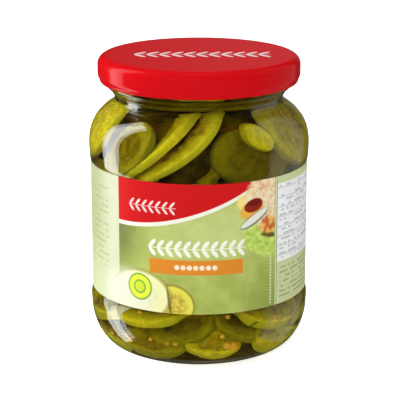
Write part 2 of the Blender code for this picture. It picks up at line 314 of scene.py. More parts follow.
def inner_wall():
    """Inside of the glass from the bore down the wall to the edge of the base, in fine steps."""
    shoulder = superellipse_arc(
        (BODY_RADIUS, SHOULDER_BOTTOM), SHOULDER_CROWN, SHOULDER_POWERS, 24, INNER_SHOULDER_SWEEP
    )
    inner_shoulder = offset_inward(shoulder, WALL)[1:]
    inner_shoulder.reverse()
    bore = curve_through(
        (
            (BORE_RADIUS, 99.0),
            (BORE_RADIUS, 96.0),
            (NECK_BORE_RADIUS, 92.6),
            (NECK_BORE_RADIUS, 89.4),
            inner_shoulder[0],
        ),
        5,
    )[:-1]
    wall = [(BODY_RADIUS - WALL, SHOULDER_BOTTOM), (BODY_RADIUS - WALL, 45.0)]
    heel = superellipse_arc(
        (BODY_RADIUS - WALL, INNER_HEEL_TOP), (INNER_HEEL_RADIUS, BASE_GLASS), INNER_HEEL_POWERS, 18
    )
    return bore + inner_shoulder + wall + heel


def floor_height(radius):
    """Height of the glass's floor, which follows the push-up under it."""
    share = min(1.0, radius / INNER_HEEL_RADIUS)
    return BASE_GLASS + FLOOR_RISE * (1.0 - share**2)


def floor_profile():
    """The glass's floor from the edge of the base to its middle."""
    return [(r, floor_height(r)) for r in np.linspace(INNER_HEEL_RADIUS, 0.0, 12)[1:]]


def glass_wave(turns, radius, height):
    """Slow unevenness of blown glass, in the inner wall alone."""
    if radius > BODY_RADIUS - WALL + 0.5:
        return np.zeros_like(turns)
    swing = 0.06 * np.sin(3.0 * turns + 0.05 * height) + 0.04 * np.sin(7.0 * turns - 0.11 * height)
    return swing * min(1.0, radius / 20.0)


def make_glass():
    profile = outer_profile() + inner_wall() + floor_profile()
    mesh = turned_mesh("jar_glass", profile, 160, glass_wave)
    piece = add_piece("jar_glass", mesh, "jar_glass", "glass_jar")
    mesh.materials.append(glass_material())
    return piece


def make_brine():
    """The liquid, as wide as the inside of the glass and a little into its wall."""
    inside = inner_wall() + floor_profile()
    held = [point for point in inside if point[1] < BRINE_TOP]
    swollen = offset_inward(held, BRINE_INTO_WALL)
    edge = swollen[0][0]
    surface = [(0.0, BRINE_TOP), (0.5 * edge, BRINE_TOP), (0.9 * edge, BRINE_TOP + 0.05)]
    meniscus = [(0.97 * edge, BRINE_TOP + 0.25), (edge, BRINE_TOP + 0.7)]
    swollen[-1] = (0.0, swollen[-1][1])
    outline = surface + meniscus + swollen
    outline.reverse()
    mesh = turned_mesh("brine", outline, 160, glass_wave)
    piece = add_piece("brine", mesh, "pickle")
    mesh.materials.append(brine_material())
    return piece


# Heap


class Wall:
    """Radius of the glass's inner wall by height, for what is pressed against it."""

    def __init__(self):
        steps = sorted(inner_wall(), key=lambda point: point[1])
        self.heights = np.array([point[1] for point in steps])
        self.radii = np.array([point[0] for point in steps])

    def radius(self, height):
        return np.interp(height, self.heights, self.radii)

    def limit(self, height):
        """How far out the heap may reach: to the wall, and under a dome where the neck juts in."""
        dome = self.radius(HEAP_DOME) - HEAP_DOME_SLOPE * (height - HEAP_DOME)
        return np.where(height < HEAP_DOME, self.radius(height), dome)

    def press(self, spots, clearance):
        """Moves an array of points inside the wall and above the floor, each by its own clearance."""
        reach = np.hypot(spots[:, 0], spots[:, 1])
        share = np.minimum(1.0, reach / INNER_HEEL_RADIUS)
        floor = BASE_GLASS + FLOOR_RISE * (1.0 - share**2) + SLICE_CLEARANCE
        spots[:, 2] = np.maximum(spots[:, 2], floor)
        limit = self.limit(spots[:, 2]) - clearance
        factor = np.where(reach > limit, limit / np.maximum(reach, 1e-6), 1.0)
        spots[:, 0] *= factor
        spots[:, 1] *= factor
        return spots


def hidden_slices():
    """Placings of the slices that the photograph doesn't show, drawn as for the solids."""
    draw = random.Random(HEAP_SEED)
    azimuth_spread, height_spread, lean_spread, length_spread = ROW_JITTER
    placings = []
    for first, last, count, height, lean, tip, half_length, half_depth in HIDDEN_ROWS:
        for i in range(count):
            azimuth = first + (last - first) * i / (count - 1)
            placings.append(
                (
                    azimuth + draw.uniform(-azimuth_spread, azimuth_spread),
                    height + draw.uniform(-height_spread, height_spread),
                    lean + draw.uniform(-lean_spread, lean_spread),
                    tip,
                    half_length + draw.uniform(-length_spread, length_spread),
                    half_depth,
                    SLICE_THICKNESS,
                    0.0,
                    1.0,
                    # painted shade: the hidden slices keep 0.8 of their flesh's brightness
                    0.8,
                )
            )
    return placings


# A slice's section: share of its radius, and share of its half thickness, from middle to rim
SLICE_SECTION = (
    (0.14, 1.0),
    (0.28, 1.0),
    (0.42, 1.0),
    (0.56, 1.0),
    (0.68, 1.0),
    (0.79, 1.0),
    (0.88, 0.99),
    (0.94, 0.95),
    (0.975, 0.83),
    (0.995, 0.55),
)
SLICE_SECTORS = 56


def slice_points(placing, wall, draw):
    """Points of one slice in rings from the upper middle over the rim to the lower middle."""
    azimuth, height, lean, tip, half_length, half_depth, thickness, inset = placing[:8]
    around = math.radians(azimuth)
    tipped = math.radians(tip)
    across = half_depth * abs(math.cos(tipped)) + 0.5 * thickness * math.sin(tipped)
    reach = float(wall.radius(height)) + 1.0 - inset - across
    middle = np.array((reach * math.cos(around), reach * math.sin(around), height))
    turn = Matrix.Rotation(around, 3, "Z") @ Matrix.Rotation(math.radians(lean), 3, "X")
    turn = np.array(turn @ Matrix.Rotation(tipped, 3, "Y"))
    angles = 2.0 * math.pi * np.arange(SLICE_SECTORS) / SLICE_SECTORS
    phases = [draw.uniform(0.0, 2.0 * math.pi) for _ in range(6)]
    uneven = 1.0 + 0.022 * np.sin(2.0 * angles + phases[0]) + 0.014 * np.sin(5.0 * angles + phases[1])
    bend = draw.uniform(-0.9, 0.9)
    lobes = 1.0 + 0.12 * np.cos(3.0 * angles + phases[2])
    sides = []
    for side in (1.0, -1.0):
        rows = []
        for share, height_share in SLICE_SECTION:
            hollow = 0.28 * np.clip((0.62 - share * lobes) / 0.18, 0.0, 1.0)
            ripple = 0.07 * np.sin(9.0 * share + 4.0 * angles + phases[3])
            level = side * (0.5 * thickness * height_share - (hollow + ripple) * (share < 0.9))
            x = half_depth * share * uneven * np.cos(angles)
            y = half_length * share * uneven * np.sin(angles)
            cup = bend * (share * np.sin(angles + phases[4])) ** 2
            rows.append(np.stack([x, y, level + cup], axis=1))
        sides.append(rows)
    rim = [np.stack([half_depth * uneven * np.cos(angles), half_length * uneven * np.sin(angles),
                     bend * np.sin(angles + phases[4]) ** 2], axis=1)]
    rings = sides[0] + rim + sides[1][::-1]
    tips = [np.array([[0.0, 0.0, 0.5 * side * thickness - 0.2 * side]]) for side in (1.0, -1.0)]
    local = np.concatenate([tips[0]] + rings + [tips[1]])
    flat = local[:, :2] / np.array([half_depth, half_length])
    under = np.clip(0.5 * thickness - local[:, 2], 0.0, thickness) * math.sin(tipped)
    spots = wall.press(local @ turn.T + middle, SLICE_CLEARANCE + under)
    return spots, flat


def slice_faces(offset):
    """Faces of one slice, from the ring order of slice_points."""
    rings = 2 * len(SLICE_SECTION) + 1
    faces = []
    for k in range(SLICE_SECTORS):
        n = (k + 1) % SLICE_SECTORS
        faces.append((offset, offset + 1 + k, offset + 1 + n))
        for ring in range(rings - 1):
            low = offset + 1 + ring * SLICE_SECTORS
            high = low + SLICE_SECTORS
            faces.append((low + k, high + k, high + n, low + n))
        last = offset + 1 + (rings - 1) * SLICE_SECTORS
        tip = offset + 1 + rings * SLICE_SECTORS
        faces.append((last + k, tip, last + n))
    return faces


def make_slices():
    """All the slices as one mesh, with each slice's own coordinates, random tone, seed hollow and painted
    shade on its corners.
    """
    wall = Wall()
    draw = random.Random(DETAIL_SEED)
    all_spots = []
    all_flat = []
    all_faces = []
    shades = []
    offset = 0
    for placing in list(SHOWN_SLICES) + hidden_slices():
        spots, flat = slice_points(placing, wall, draw)
        all_spots.append(spots)
        all_flat.append(flat)
        all_faces += slice_faces(offset)
        shade = np.ones((len(spots), 4), dtype=np.float32)
        shade[:, 0] = draw.random()
        # seed hollow, and the share of the flesh's brightness that painted shade leaves
        shade[:, 1:3] = placing[8:]
        shades.append(shade)
        offset += len(spots)
    verts = np.concatenate(all_spots) * MM
    flat = np.concatenate(all_flat)
    mesh = bpy.data.meshes.new("pickle_slices")
    mesh.from_pydata(verts.tolist(), [], all_faces)
    mesh.shade_smooth()
    corners = np.empty(len(mesh.loops), dtype=np.int32)
    mesh.loops.foreach_get("vertex_index", corners)
    own = mesh.uv_layers.new(name="slice_place")
    own.data.foreach_set("uv", flat[corners].astype(np.float32).ravel())
    tone = mesh.color_attributes.new(name="slice_tone", type="FLOAT_COLOR", domain="POINT")
    tone.data.foreach_set("color", np.concatenate(shades).ravel())
    piece = add_piece("slices", mesh, "pickle", "pickle_slices")
    mesh.materials.append(slice_material())
    return piece


def core_wave(turns, radius, height):
    return 1.1 * np.sin(5.0 * turns + 0.5 * height) * math.cos(0.35 * height) + 0.5 * np.sin(
        11.0 * turns - 0.9 * height
    )


def make_core():
    """The dense middle of the heap, which shows only in the gaps between slices."""
    wall = Wall()
    middle = 0.5 * (LABEL_BOTTOM + LABEL_TOP)
    reach = 0.5 * (LABEL_TOP - LABEL_BOTTOM)
    profile = [(0.0, CORE_BOTTOM - 0.4)]
    for height in np.linspace(CORE_BOTTOM, CORE_TOP, 60):
        away = min(1.0, abs(height - middle) / reach)
        inset = CORE_MIDDLE_INSET + (CORE_INSET - CORE_MIDDLE_INSET) * away**2
        profile.append((float(wall.radius(height)) - inset, float(height)))
    profile.append((0.0, CORE_TOP + 4.5))
    mesh = turned_mesh("heap_core", profile, 96, core_wave)
    piece = add_piece("heap_core", mesh, "pickle")
    mesh.materials.append(core_material())
    return piece


# Seeds and herb, each as azimuth, height, and size of its longest half; the rest are drawn by a rule
SHOWN_SEEDS = (
    (-69.5, 8.0, 2.2),
    (-73.5, 8.8, 1.5),
    (-54.0, 8.6, 1.15),
    (-118.0, 10.4, 0.8),
    (-108.0, 9.6, 0.8),
    (-77.0, 12.5, 0.9),
)
DRAWN_SEEDS = 20
SEED_SECTORS = 14
SEED_RINGS = 9
DILL_COUNT = 9
DILL_RADIUS = 0.28
DILL_STEPS = 7
DILL_SIDES = 6


def drawn_places(draw, count, low, high):
    """Places against the inside of the glass, as azimuth and height, spread evenly round."""
    return [
        (360.0 * (i + draw.uniform(0.1, 0.9)) / count, draw.uniform(low, high)) for i in range(count)
    ]


def make_seeds():
    """Mustard seeds, settled between the slices and the glass."""
    wall = Wall()
    draw = random.Random(DETAIL_SEED)
    places = list(SHOWN_SEEDS)
    places += [(*place, draw.uniform(0.75, 1.2)) for place in drawn_places(draw, DRAWN_SEEDS, 6.5, 21.0)]
    polar = np.linspace(0.0, math.pi, SEED_RINGS)[1:-1]
    around = 2.0 * math.pi * np.arange(SEED_SECTORS) / SEED_SECTORS
    round_points = [(0.0, 0.0, 1.0)]
    for p in polar:
        round_points += [(math.sin(p) * math.cos(a), math.sin(p) * math.sin(a), math.cos(p)) for a in around]
    round_points.append((0.0, 0.0, -1.0))
    ball = np.array(round_points)
    verts = []
    faces = []
    for azimuth, height, size in places:
        squash = np.array((size, draw.uniform(0.78, 0.95) * size, draw.uniform(0.78, 0.95) * size))
        turn = Matrix.Rotation(draw.uniform(0.0, math.pi), 3, "Z") @ Matrix.Rotation(draw.random(), 3, "X")
        reach = float(wall.radius(height)) - size - SLICE_CLEARANCE
        turned = math.radians(azimuth)
        middle = np.array((reach * math.cos(turned), reach * math.sin(turned), height))
        spots = wall.press((ball * squash) @ np.array(turn).T + middle, SLICE_CLEARANCE)
        start = SEED_SECTORS * len(polar) + 2
        offset = len(verts)
        verts += (spots * MM).tolist()
        for k in range(SEED_SECTORS):
            n = (k + 1) % SEED_SECTORS
            faces.append((offset, offset + 1 + k, offset + 1 + n))
            for ring in range(len(polar) - 1):
                low = offset + 1 + ring * SEED_SECTORS
                faces.append((low + k, low + SEED_SECTORS + k, low + SEED_SECTORS + n, low + n))
            last = offset + start - 1 - SEED_SECTORS
            faces.append((last + k, offset + start - 1, last + n))
    mesh = bpy.data.meshes.new("mustard_seeds")
    mesh.from_pydata(verts, [], faces)
    mesh.shade_smooth()
    piece = add_piece("mustard_seeds", mesh, "pickle")
    mesh.materials.append(seed_material())
    return piece


def make_dill():
    """Short curved threads of dill against the glass."""
    wall = Wall()
    draw = random.Random(DETAIL_SEED + 1)
    verts = []
    faces = []
    for azimuth, height in drawn_places(draw, DILL_COUNT, 6.5, 20.0):
        length = draw.uniform(3.0, 7.0)
        lean = draw.uniform(-1.2, 1.2)
        bend = draw.uniform(-0.6, 0.6)
        offset = len(verts)
        for step in range(DILL_STEPS + 1):
            share = step / DILL_STEPS - 0.5
            tilt = lean + bend * share
            z = height + length * share * math.sin(tilt)
            reach = float(wall.limit(z)) - 2.0 * DILL_RADIUS - SLICE_CLEARANCE
            turn = math.radians(azimuth) + length * share * math.cos(tilt) / reach
            thick = DILL_RADIUS * (1.0 - 0.7 * abs(2.0 * share) ** 3)
            for side in range(DILL_SIDES):
                angle = 2.0 * math.pi * side / DILL_SIDES
                out = reach + thick * math.cos(angle)
                spot = (out * math.cos(turn), out * math.sin(turn), z + thick * math.sin(angle))
                verts.append([c * MM for c in spot])
        for step in range(DILL_STEPS):
            for side in range(DILL_SIDES):
                n = (side + 1) % DILL_SIDES
                low = offset + step * DILL_SIDES
                faces.append((low + side, low + n, low + DILL_SIDES + n, low + DILL_SIDES + side))
        faces.append(tuple(offset + side for side in reversed(range(DILL_SIDES))))
        faces.append(tuple(offset + DILL_STEPS * DILL_SIDES + side for side in range(DILL_SIDES)))
    mesh = bpy.data.meshes.new("dill_threads")
    mesh.from_pydata(verts, [], faces)
    mesh.shade_smooth()
    piece = add_piece("dill_threads", mesh, "pickle")
    mesh.materials.append(dill_material())
    return piece


# Lid and label


def make_lid():
    """The twist-off lid, in fine steps, lacquered outside and pale inside."""
    corner = (LID_PANEL_RADIUS, JAR_HEIGHT - LID_CORNER)
    inner_corner = LID_CORNER - LID_SHEET
    top = [(r, JAR_HEIGHT) for r in np.linspace(0.0, LID_PANEL_RADIUS, 10)[:-1]]
    outside = circle_arc(corner, LID_CORNER, 90.0, 0.0, 16)
    skirt = curve_through((outside[-1], SKIRT_MIDDLE, SKIRT_FOOT, (35.44, 97.6)), 4)[1:-1]
    curl = circle_arc(CURL_CENTRE, CURL_RADIUS, 8.0, -265.0, 24)
    inside = [SKIRT_INSIDE] + circle_arc(corner, inner_corner, 0.0, 90.0, 8)
    under = [(0.5 * LID_PANEL_RADIUS, JAR_HEIGHT - LID_SHEET), (0.0, JAR_HEIGHT - LID_SHEET)]
    profile = top + outside + skirt + curl + inside + under
    profile.reverse()
    mesh = turned_mesh("lid_cap", profile, 160)
    piece = add_piece("lid_cap", mesh, "red_lacquer", "lid")
    mesh.materials.append(lacquer_material())
    mesh.materials.append(lining_material())
    lined_rings = len(inside + under) + 6
    for polygon in mesh.polygons:
        polygon.material_index = 1 if polygon.index // 160 < lined_rings else 0
    return piece


LABEL_COLUMNS = 288
LABEL_ROWS = 24


def make_label():
    """The printed paper band, with its print laid out on a map in millimetres."""
    length = 2.0 * math.pi * LABEL_RADIUS
    verts = []
    places = []
    half = 0.5 * length
    for face_radius in (LABEL_RADIUS, LABEL_RADIUS - LABEL_PAPER):
        for row in range(LABEL_ROWS + 1):
            up = (LABEL_TOP - LABEL_BOTTOM) * row / LABEL_ROWS
            for column in range(LABEL_COLUMNS):
                across = -half + length * column / LABEL_COLUMNS
                turn = across / LABEL_RADIUS - 0.5 * math.pi
                spot = (face_radius * math.cos(turn), face_radius * math.sin(turn), LABEL_BOTTOM + up)
                verts.append([c * MM for c in spot])
                places.append((across, up))
    sheet = (LABEL_ROWS + 1) * LABEL_COLUMNS
    faces = []
    for row in range(LABEL_ROWS):
        for column in range(LABEL_COLUMNS):
            a = row * LABEL_COLUMNS + column
            b = row * LABEL_COLUMNS + (column + 1) % LABEL_COLUMNS
            faces.append((a, b, b + LABEL_COLUMNS, a + LABEL_COLUMNS))
            faces.append((sheet + b, sheet + a, sheet + a + LABEL_COLUMNS, sheet + b + LABEL_COLUMNS))
    for column in range(LABEL_COLUMNS):
        n = (column + 1) % LABEL_COLUMNS
        top = LABEL_ROWS * LABEL_COLUMNS
        faces.append((sheet + column, sheet + n, n, column))
        faces.append((top + column, top + n, sheet + top + n, sheet + top + column))
    mesh = bpy.data.meshes.new("label_band")
    mesh.from_pydata(verts, [], faces)
    mesh.shade_smooth()
    mesh.set_sharp_from_angle(angle=math.radians(40.0))
    layer = mesh.uv_layers.new(name="print_place")
    for polygon in mesh.polygons:
        spots = [places[mesh.loops[i].vertex_index] for i in polygon.loop_indices]
        wraps = max(x for x, _ in spots) - min(x for x, _ in spots) > half
        for i, (x, y) in zip(polygon.loop_indices, spots):
            layer.data[i].uv = ((x + length if wraps and x < 0.0 else x), y)
    piece = add_piece("label_band", mesh, "label_paper", "label")
    mesh.materials.append(print_material())
    return piece


# Materials


class Nodes:
    """Adds nodes to one material or world and links them."""

    def __init__(self, owner):
        owner.use_nodes = True
        self.tree = owner.node_tree
        self.tree.nodes.clear()

    def add(self, kind, **inputs):
        node = self.tree.nodes.new(kind)
        for name, value in inputs.items():
            self.feed(node.inputs[name.replace("_", " ")], value)
        return node

    def feed(self, socket, value):
        if isinstance(value, bpy.types.NodeSocket):
            self.tree.links.new(value, socket)
        else:
            socket.default_value = value

    def math(self, operation, *values, clamp=False):
        node = self.tree.nodes.new("ShaderNodeMath")
        node.operation = operation
        node.use_clamp = clamp
        for socket, value in zip(node.inputs, values):
            self.feed(socket, value)
        return node.outputs[0]

    def vector(self, operation, *values):
        node = self.tree.nodes.new("ShaderNodeVectorMath")
        node.operation = operation
        for socket, value in zip(node.inputs, values):
            self.feed(socket, value)
        return node.outputs["Value"] if operation == "LENGTH" else node.outputs["Vector"]

    def ramp(self, value, low, high, start=0.0, end=1.0):
        """start up to low, end from high, with a smooth run between."""
        node = self.tree.nodes.new("ShaderNodeMapRange")
        node.interpolation_type = "SMOOTHSTEP"
        for name, given in (
            ("Value", value),
            ("From Min", low),
            ("From Max", high),
            ("To Min", start),
            ("To Max", end),
        ):
            self.feed(node.inputs[name], given)
        return node.outputs["Result"]

    def mix(self, share, first, second):
        node = self.tree.nodes.new("ShaderNodeMix")
        node.data_type = "RGBA"
        node.clamp_factor = True
        colours = [socket for socket in node.inputs if socket.type == "RGBA"]
        self.feed(node.inputs[0], share)
        for socket, value in zip(colours, (first, second)):
            self.feed(socket, value)
        return [socket for socket in node.outputs if socket.type == "RGBA"][0]

    def noise(self, place, scale, detail=3.0, roughness=0.55):
        node = self.add("ShaderNodeTexNoise", Vector=place, Scale=scale, Detail=detail)
        node.inputs["Roughness"].default_value = roughness
        return node.outputs["Fac"]

    def place(self):
        return self.add("ShaderNodeTexCoord").outputs["Object"]

    def bump(self, height, strength, distance):
        return self.add(
            "ShaderNodeBump", Height=height, Strength=strength, Distance=distance
        ).outputs["Normal"]

    def finish(self, shader, volume=None):
        output = self.tree.nodes.new("ShaderNodeOutputMaterial")
        self.tree.links.new(shader, output.inputs["Surface"])
        if volume is not None:
            self.tree.links.new(volume, output.inputs["Volume"])


def rgb(red, green, blue):
    """A colour read from the photograph in its own 0 to 255 scale, made linear."""
    linear = []
    for value in (red, green, blue):
        share = value / 255.0
        linear.append(share / 12.92 if share <= 0.04045 else ((share + 0.055) / 1.055) ** 2.4)
    return (*linear, 1.0)


def lets_lamps_through(nodes, shader, tint):
    """The shader, with lamps shining straight through it."""
    path = nodes.add("ShaderNodeLightPath")
    clear = nodes.add("ShaderNodeBsdfTransparent", Color=tint)
    mix = nodes.add("ShaderNodeMixShader", Fac=path.outputs["Is Shadow Ray"])
    nodes.tree.links.new(shader, mix.inputs[1])
    nodes.tree.links.new(clear.outputs[0], mix.inputs[2])
    return mix.outputs[0]


def glass_material():
    material = bpy.data.materials.new("clear_jar_glass")
    nodes = Nodes(material)
    shader = nodes.add("ShaderNodeBsdfPrincipled", Roughness=0.015, IOR=1.5)
    shader.inputs["Base Color"].default_value = (0.975, 0.99, 0.975, 1.0)
    shader.inputs["Transmission Weight"].default_value = 1.0
    ripple = nodes.noise(nodes.place(), 60.0, 2.0)
    nodes.feed(shader.inputs["Normal"], nodes.bump(ripple, 0.25, 0.0004))
    nodes.finish(lets_lamps_through(nodes, shader.outputs[0], (0.985, 1.0, 0.985, 1.0)))
    return material


def brine_material():
    material = bpy.data.materials.new("brine_liquid")
    nodes = Nodes(material)
    shader = nodes.add("ShaderNodeBsdfPrincipled", Roughness=0.0, IOR=1.34)
    shader.inputs["Base Color"].default_value = (1.0, 0.99, 0.93, 1.0)
    shader.inputs["Transmission Weight"].default_value = 1.0
    depth = nodes.add("ShaderNodeVolumeAbsorption", Density=190.0)
    depth.inputs["Color"].default_value = (0.91, 0.875, 0.02, 1.0)
    lit = lets_lamps_through(nodes, shader.outputs[0], (0.99, 0.98, 0.92, 1.0))
    nodes.finish(lit, depth.outputs[0])
    return material


def slice_material():
    """Pickle flesh: rind, pale ring of flesh, olive seed hollow with pale seeds."""
    material = bpy.data.materials.new("pickle_slice")
    nodes = Nodes(material)
    own = nodes.add("ShaderNodeUVMap")
    own.uv_map = "slice_place"
    marks = nodes.add("ShaderNodeVertexColor")
    marks.layer_name = "slice_tone"
    marks = nodes.add("ShaderNodeSeparateColor", Color=marks.outputs[0])
    tone, seeded, bright = marks.outputs[0], marks.outputs[1], marks.outputs[2]
    parts = nodes.add("ShaderNodeSeparateXYZ", Vector=own.outputs[0])
    across, along = parts.outputs[0], parts.outputs[1]
    reach = nodes.vector("LENGTH", own.outputs[0])
    turn = nodes.math("ARCTAN2", along, across)
    place = nodes.place()
    wobble = nodes.noise(place, 220.0, 2.0)
    lobes = nodes.math("MULTIPLY", nodes.math("COSINE", nodes.math("MULTIPLY", turn, 3.0)), 0.05)
    edge = nodes.math("ADD", nodes.math("ADD", reach, lobes), nodes.math("MULTIPLY", wobble, 0.10))
    hollow = nodes.math("MULTIPLY", nodes.ramp(edge, 0.56, 0.72, 1.0, 0.0), seeded)
    seed_place = nodes.add(
        "ShaderNodeCombineXYZ",
        X=nodes.math("MULTIPLY", turn, 2.9),
        Y=nodes.math("MULTIPLY", reach, 3.4),
        Z=nodes.math("MULTIPLY", tone, 9.0),
    )
    cells = nodes.add("ShaderNodeTexVoronoi", Vector=seed_place.outputs[0], Scale=1.0)
    seeds = nodes.ramp(cells.outputs["Distance"], 0.18, 0.34, 1.0, 0.0)
    ringed = nodes.math("MULTIPLY", nodes.ramp(reach, 0.16, 0.24), nodes.ramp(reach, 0.50, 0.60, 1.0, 0.0))
    seeds = nodes.math("MULTIPLY", nodes.math("MULTIPLY", seeds, ringed), seeded)
    mottle = nodes.noise(place, 420.0, 4.0, 0.6)
    streaks = nodes.noise(nodes.vector("MULTIPLY", own.outputs[0], (26.0, 5.0, 1.0)), 1.0, 4.0, 0.65)
    grain = nodes.ramp(nodes.math("MULTIPLY", nodes.math("ADD", mottle, streaks), 0.5), 0.38, 0.62)
    flesh = nodes.mix(grain, rgb(200, 184, 26), rgb(250, 236, 50))
    flesh = nodes.mix(nodes.math("MULTIPLY", tone, 0.35), flesh, rgb(214, 204, 40))
    middle = nodes.mix(grain, rgb(150, 128, 18), rgb(232, 210, 48))
    seed = rgb(206, 200, 128)
    colour = nodes.mix(hollow, flesh, middle)
    colour = nodes.mix(seeds, colour, seed)
    rind = nodes.ramp(reach, 0.955, 0.99)
    colour = nodes.mix(nodes.math("MULTIPLY", rind, 0.75), colour, rgb(196, 190, 40))
    # Painted shade: a slice's flesh is darkened towards near black where its painted-shade share is below 1
    colour = nodes.mix(bright, rgb(30, 24, 6), colour)
    shader = nodes.add("ShaderNodeBsdfPrincipled", IOR=1.07, Subsurface_Weight=0.7, Subsurface_Scale=0.0022)
    shader.inputs["Subsurface Radius"].default_value = (1.0, 0.9, 0.2)
    nodes.feed(shader.inputs["Base Color"], colour)
    nodes.feed(shader.inputs["Roughness"], nodes.ramp(mottle, 0.3, 0.7, 0.28, 0.42))
    relief = nodes.math("ADD", mottle, nodes.math("MULTIPLY", seeds, 0.8))
    nodes.feed(shader.inputs["Normal"], nodes.bump(relief, 0.5, 0.0004))
    glow = nodes.add("ShaderNodeBsdfTranslucent", Color=colour)
    mix = nodes.add("ShaderNodeMixShader", Fac=0.15)
    nodes.tree.links.new(shader.outputs[0], mix.inputs[1])
    nodes.tree.links.new(glow.outputs[0], mix.inputs[2])
    nodes.finish(mix.outputs[0])
    return material


def seed_material():
    material = bpy.data.materials.new("mustard_seed")
    nodes = Nodes(material)
    place = nodes.place()
    patches = nodes.noise(place, 160.0, 2.0)
    grain = nodes.noise(place, 2400.0, 2.0)
    colour = nodes.mix(nodes.ramp(patches, 0.4, 0.6), rgb(236, 176, 44), rgb(238, 190, 78))
    shader = nodes.add("ShaderNodeBsdfPrincipled", Roughness=0.45, IOR=1.07)
    colour = nodes.mix(nodes.math("MULTIPLY", grain, 0.3), colour, rgb(170, 120, 40))
    nodes.feed(shader.inputs["Base Color"], colour)
    nodes.feed(shader.inputs["Normal"], nodes.bump(grain, 0.3, 0.0001))
    nodes.finish(shader.outputs[0])
    return material


def dill_material():
    material = bpy.data.materials.new("dill_thread")
    nodes = Nodes(material)
    streaks = nodes.noise(nodes.place(), 500.0, 3.0)
    shader = nodes.add("ShaderNodeBsdfPrincipled", Roughness=0.6, IOR=1.07)
    nodes.feed(shader.inputs["Base Color"], nodes.mix(streaks, rgb(84, 92, 22), rgb(132, 138, 44)))
    nodes.finish(shader.outputs[0])
    return material


def core_material():
    material = bpy.data.materials.new("heap_core_painted_shade")
    nodes = Nodes(material)
    place = nodes.place()
    patches = nodes.noise(place, 110.0, 4.0, 0.6)
    # Painted shade: the heap's olive is darkened well below the flesh, so the gaps between slices read as
    # shade; from 18 to 30 mm up and above it turns darker still.
    deep = nodes.mix(nodes.ramp(patches, 0.4, 0.62), rgb(54, 45, 10), rgb(98, 84, 20))
    settled = nodes.mix(nodes.ramp(patches, 0.4, 0.62), rgb(84, 72, 14), rgb(136, 118, 34))
    raised = nodes.add("ShaderNodeSeparateXYZ", Vector=place).outputs["Z"]
    colour = nodes.mix(nodes.ramp(raised, 0.018, 0.03), settled, deep)
    shader = nodes.add("ShaderNodeBsdfPrincipled", Roughness=0.6, IOR=1.07)
    nodes.feed(shader.inputs["Base Color"], colour)
    nodes.feed(shader.inputs["Normal"], nodes.bump(patches, 0.8, 0.001))
    nodes.finish(shader.outputs[0])
    return material


LID_SPRIG = ((-23.0, -6.2), (25.4, 3.4))
LID_SPRIG_PITCH = 4.4


def lacquer_material():
    material = bpy.data.materials.new("red_lid_lacquer")
    nodes = Nodes(material)
    place = nodes.place()
    peel = nodes.noise(place, 900.0, 2.0)
    drift = nodes.noise(place, 35.0, 2.0)
    colour = nodes.mix(drift, rgb(198, 8, 18), rgb(208, 14, 22))
    turned = nodes.vector("SCALE", place)
    turned.node.inputs["Scale"].default_value = 1.0 / MM
    prints = Print(nodes, turned)
    raised = nodes.add("ShaderNodeSeparateXYZ", Vector=turned).outputs[2]
    on_top = nodes.ramp(raised, JAR_HEIGHT - 0.06, JAR_HEIGHT - 0.03)
    pale = print_garland(prints, colour, LID_SPRIG, LID_SPRIG_PITCH, (3.2, 0.85), rgb(240, 214, 214))
    colour = nodes.mix(on_top, colour, pale)
    shader = nodes.add("ShaderNodeBsdfPrincipled", IOR=1.5)
    shader.inputs["Specular IOR Level"].default_value = 0.1
    nodes.feed(shader.inputs["Base Color"], colour)
    nodes.feed(shader.inputs["Roughness"], nodes.ramp(drift, 0.3, 0.7, 0.12, 0.18))
    nodes.feed(shader.inputs["Normal"], nodes.bump(peel, 0.12, 0.0002))
    nodes.finish(shader.outputs[0])
    return material


def lining_material():
    material = bpy.data.materials.new("lid_lining")
    nodes = Nodes(material)
    grain = nodes.noise(nodes.place(), 300.0)
    shader = nodes.add("ShaderNodeBsdfPrincipled", Roughness=0.4)
    nodes.feed(shader.inputs["Base Color"], nodes.mix(grain, rgb(214, 208, 190), rgb(228, 222, 206)))
    nodes.finish(shader.outputs[0])
    return material


# Layout of the label's print, in millimetres: across from the middle of the front, up from its lower edge
FRONT_PANEL = (-31.0, 29.3)
BANNER_LOW = 31.15
BANNER_RISE = 15.1
BANNER_RUN = 52.0
BANNER_POWER = 1.94
BANNER_STRIPE = 1.4
GARLAND = ((-18.2, 20.2), (16.4, 26.8))
GARLAND_PITCH = 34.6 / 11
SPRIG = ((-26.0, 35.6), (-8.0, 40.0))
SPRIG_PITCH = 18.0 / 7
DOTS = (-8.8, 6.6)
DOT_PITCH = 2.2
ORANGE_BAR = ((-17.7, 14.2), (15.6, 19.5))
TABLE = ((30.2, 15.5), (62.0, 43.9))
LINE_PITCH = 1.75
LAP_EDGE = math.pi * LABEL_RADIUS - 0.4
PRINT_SOFT = 0.12


